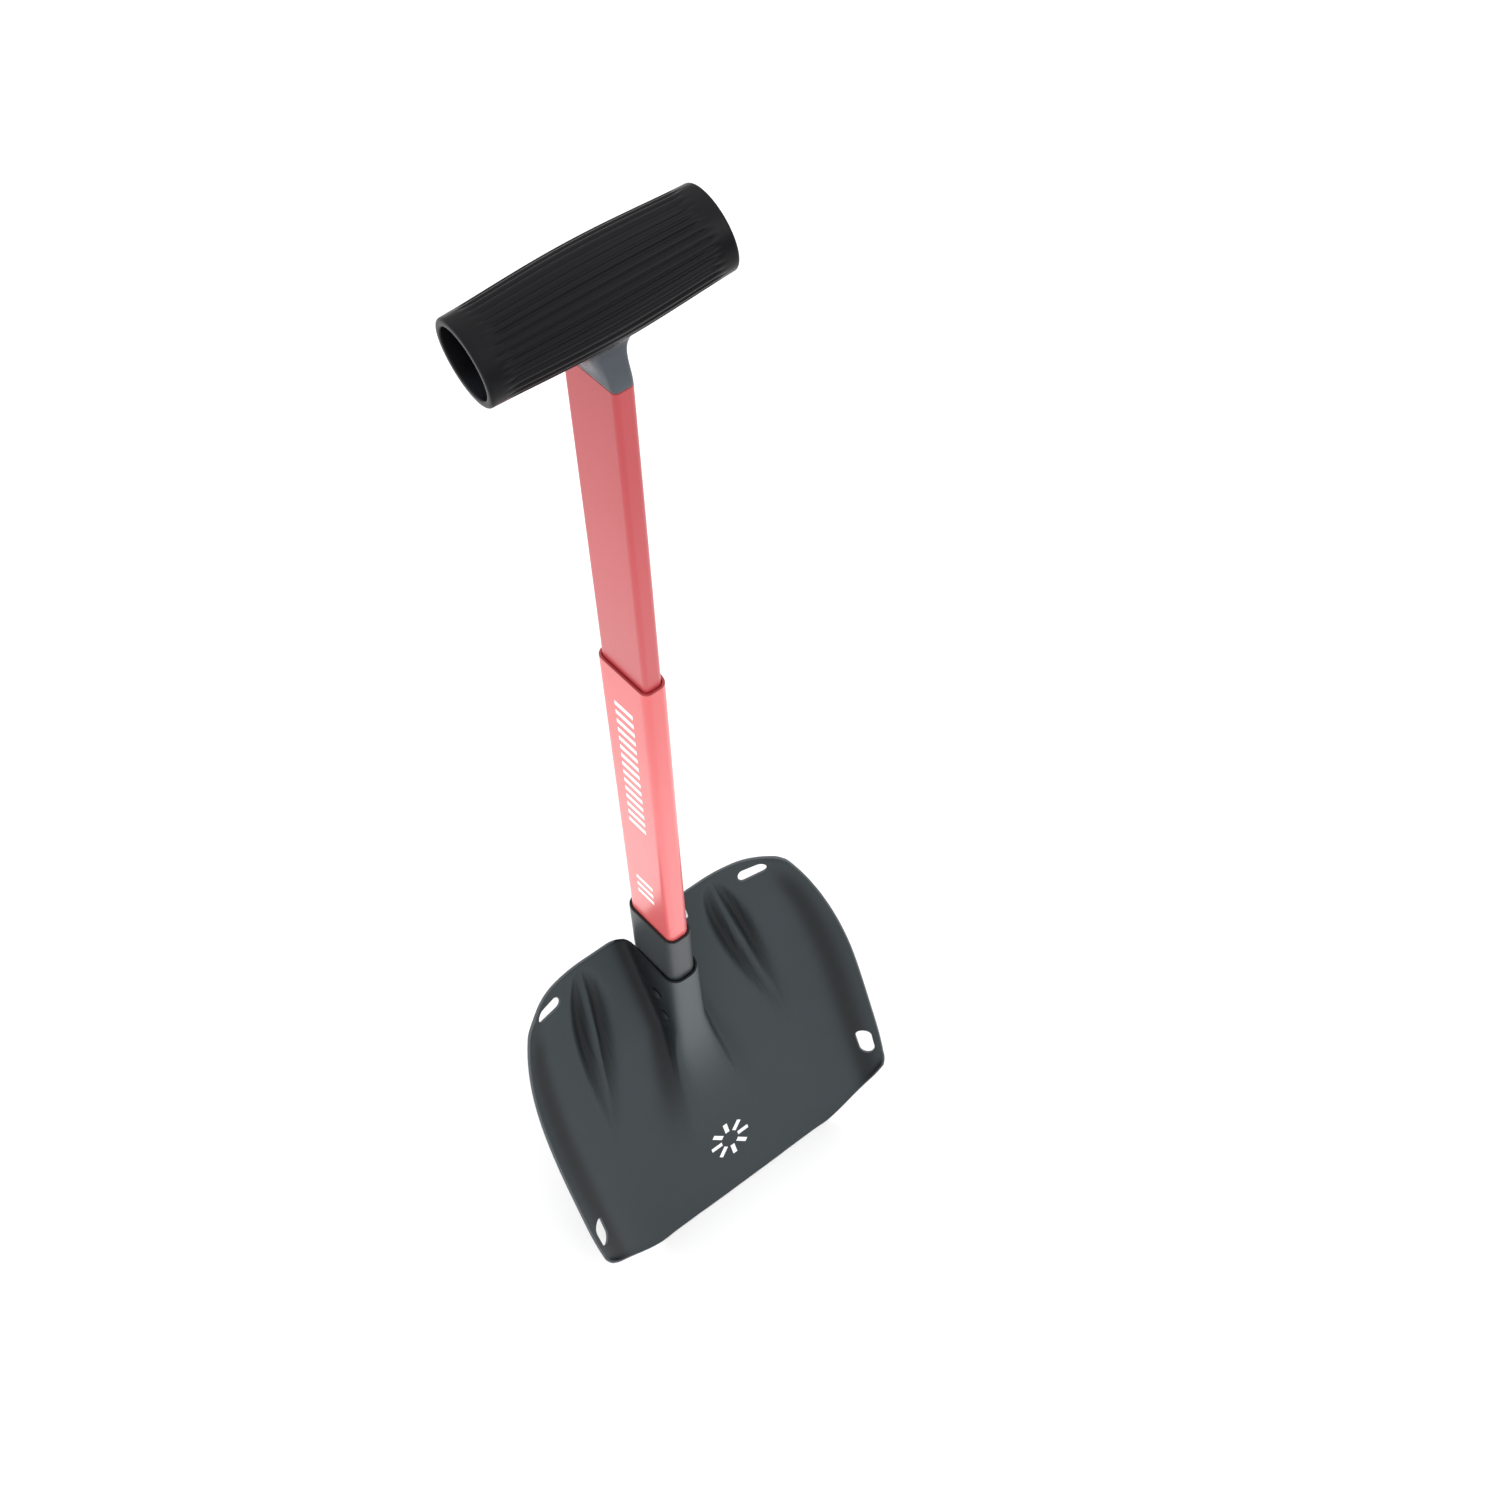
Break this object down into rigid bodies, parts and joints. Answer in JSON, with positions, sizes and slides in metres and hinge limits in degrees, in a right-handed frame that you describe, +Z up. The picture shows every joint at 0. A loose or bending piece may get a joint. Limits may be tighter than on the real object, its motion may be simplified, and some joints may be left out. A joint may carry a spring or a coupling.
{
  "type": "avalanche shovel",
  "caption": "Telescoping avalanche shovel with a T-grip, two-part trapezoid shaft with lock buttons and a pressed aluminium scoop blade.",
  "frame": {"origin": "on the floor under the blade's lowest edge, in the middle of the whole part's footprint", "axes": "+Z up along the shaft towards the grip, +X across the blade towards the side with the lock buttons, -Y the way the scoop faces"},
  "size_m": [0.2306, 0.1041, 0.7926],
  "materials": {
    "blade": "hard anodised, fine matt sheen",
    "socket": "black anodised",
    "tube": "red satin anodised",
    "grip": "matt moulded, fine texture",
    "nylon": "smooth moulded",
    "rivet": "blackened",
    "steel": "bright stainless"
  },
  "bodies": {
    "blade_head": {"blade": "blade", "blade_socket": "socket", "socket_rivet_1": "rivet", "socket_rivet_2": "rivet", "socket_rivet_3": "rivet", "socket_rivet_4": "rivet"},
    "lower_tube": {"lower_shaft": "tube", "lower_shaft_foot": "nylon", "blade_lock_spring": "steel"},
    "blade_lock": {"blade_lock_button": "steel"},
    "upper_tube": {"upper_shaft": "tube", "upper_shaft_guide": "nylon", "length_lock_spring": "steel", "grip": "grip", "grip_rivet_1": "rivet", "grip_rivet_2": "rivet"},
    "length_lock": {"length_lock_button": "steel"}
  },
  "joints": [
    {"name": "blade_release", "type": "slide", "parent": "blade_head", "child": "lower_tube", "axis": [0, 0, 1], "range_m": [0, 0.13], "deforming": ["blade_lock_button", "blade_lock_spring"]},
    {"name": "shaft_telescope", "type": "slide", "parent": "lower_tube", "child": "upper_tube", "axis": [0, 0, 1], "range_m": [-0.18, 0], "deforming": ["length_lock_button", "length_lock_spring"]},
    {"name": "blade_lock_press", "type": "slide", "parent": "lower_tube", "child": "blade_lock", "axis": [-0.995, 0.1002, 0], "range_m": [0, 0.006], "stiffness_N_per_m": 600, "springref_m": -0.004, "deforming": ["blade_lock_spring"]},
    {"name": "length_lock_press", "type": "slide", "parent": "upper_tube", "child": "length_lock", "axis": [-0.995, 0.1002, 0], "range_m": [0, 0.0044], "stiffness_N_per_m": 600, "springref_m": -0.004, "deforming": ["length_lock_spring"]}
  ]
}
